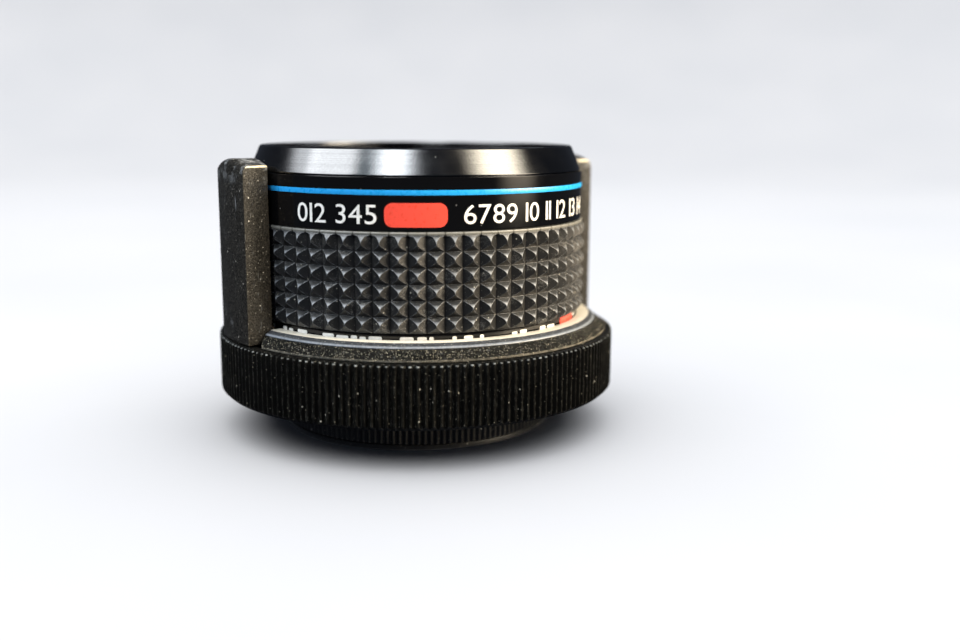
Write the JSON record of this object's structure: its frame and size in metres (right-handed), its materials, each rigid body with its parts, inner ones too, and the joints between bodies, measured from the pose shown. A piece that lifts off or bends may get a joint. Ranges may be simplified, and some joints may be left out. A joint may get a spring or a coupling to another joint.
{
  "type": "wide-angle converter lens with clamp mount",
  "caption": "Wide-angle converter lens for a camcorder: black barrel with a studded rubber grip, on a knurled ring that drives two tall clamp jaws; ribbed rear ring.",
  "frame": {"origin": "on the optical axis, in the plane of the rear rim the lens stands on", "axes": "+Z along the optical axis towards the front glass, -Y towards the side with the printed marks, +X to the right of it"},
  "size_m": [0.071, 0.071, 0.0495],
  "materials": {
    "front_bezel": "gloss black anodised, fine turned finish",
    "barrel_shell": "gloss black enamel with a thin blue line and pale printed marks",
    "rubber_grip": "matte, dusty",
    "front_element": "polished, coated",
    "middle_element": "polished, coated",
    "rear_crown_element": "polished, coated",
    "rear_flint_element": "polished, coated",
    "front_seal_ring": "matte",
    "front_spacer_ring": "matte black",
    "rear_spacer_ring": "matte black",
    "glare_baffle": "flat black, ridged",
    "rear_tube": "satin black anodised",
    "rear_retaining_ring": "satin black anodised",
    "rear_ring_circlip": "spring steel",
    "rear_mount_ring": "satin black anodised, ribbed",
    "clamp_housing": "black, spark textured",
    "lip_segment_front": "light cream, satin",
    "lip_segment_rear": "light cream, satin",
    "friction_washer": "white nylon",
    "base_plate": "black",
    "plate_screw_a": "zinc plated",
    "plate_screw_b": "zinc plated",
    "plate_screw_c": "zinc plated",
    "knurled_ring": "black, moulded V ribs, light dust",
    "scroll_plate": "turned",
    "jaw_left": "black, spark textured, rubbed outer face",
    "jaw_right": "black, spark textured, rubbed outer face",
    "jaw_pin_left": "ground steel",
    "jaw_pin_right": "ground steel"
  },
  "bodies": {
    "lens_unit": {"front_bezel": "front_bezel", "front_seal_ring": "front_seal_ring", "front_element": "front_element", "barrel_shell": "barrel_shell", "rubber_grip": "rubber_grip", "front_spacer_ring": "front_spacer_ring", "middle_element": "middle_element", "glare_baffle": "glare_baffle", "rear_tube": "rear_tube", "rear_crown_element": "rear_crown_element", "rear_spacer_ring": "rear_spacer_ring", "rear_flint_element": "rear_flint_element", "rear_retaining_ring": "rear_retaining_ring", "rear_ring_circlip": "rear_ring_circlip"},
    "rear_ring": {"rear_mount_ring": "rear_mount_ring"},
    "clamp_mount": {"clamp_housing": "clamp_housing", "lip_segment_front": "lip_segment_front", "lip_segment_rear": "lip_segment_rear", "friction_washer": "friction_washer", "base_plate": "base_plate", "plate_screw_a": "plate_screw_a", "plate_screw_b": "plate_screw_b", "plate_screw_c": "plate_screw_c"},
    "clamp_ring": {"knurled_ring": "knurled_ring", "scroll_plate": "scroll_plate"},
    "left_jaw": {"jaw_left": "jaw_left", "jaw_pin_left": "jaw_pin_left"},
    "right_jaw": {"jaw_right": "jaw_right", "jaw_pin_right": "jaw_pin_right"}
  },
  "joints": [
    {"name": "rear_ring_turn", "type": "hinge", "parent": "lens_unit", "child": "rear_ring", "pos_m": [0, 0, 0.003], "axis": [0, 0, 1], "continuous": true},
    {"name": "clamp_mount_turn", "type": "hinge", "parent": "lens_unit", "child": "clamp_mount", "pos_m": [0, 0, 0.0148], "axis": [0, 0, 1], "continuous": true},
    {"name": "clamp_ring_turn", "type": "hinge", "parent": "clamp_mount", "child": "clamp_ring", "pos_m": [0, 0, 0.0118], "axis": [0, 0, 1], "range_deg": [0, 70]},
    {"name": "left_jaw_slide", "type": "slide", "parent": "clamp_mount", "child": "left_jaw", "axis": [-0.8776, -0.4795, 0], "range_m": [0, 0.0018]},
    {"name": "right_jaw_slide", "type": "slide", "parent": "clamp_mount", "child": "right_jaw", "axis": [0.8776, 0.4795, 0], "range_m": [0, 0.0018]}
  ],
  "couplings": [
    {"joint": "left_jaw_slide", "follows": "clamp_ring_turn", "m_per_rad": 0.0014733},
    {"joint": "right_jaw_slide", "follows": "clamp_ring_turn", "m_per_rad": 0.0014733}
  ]
}
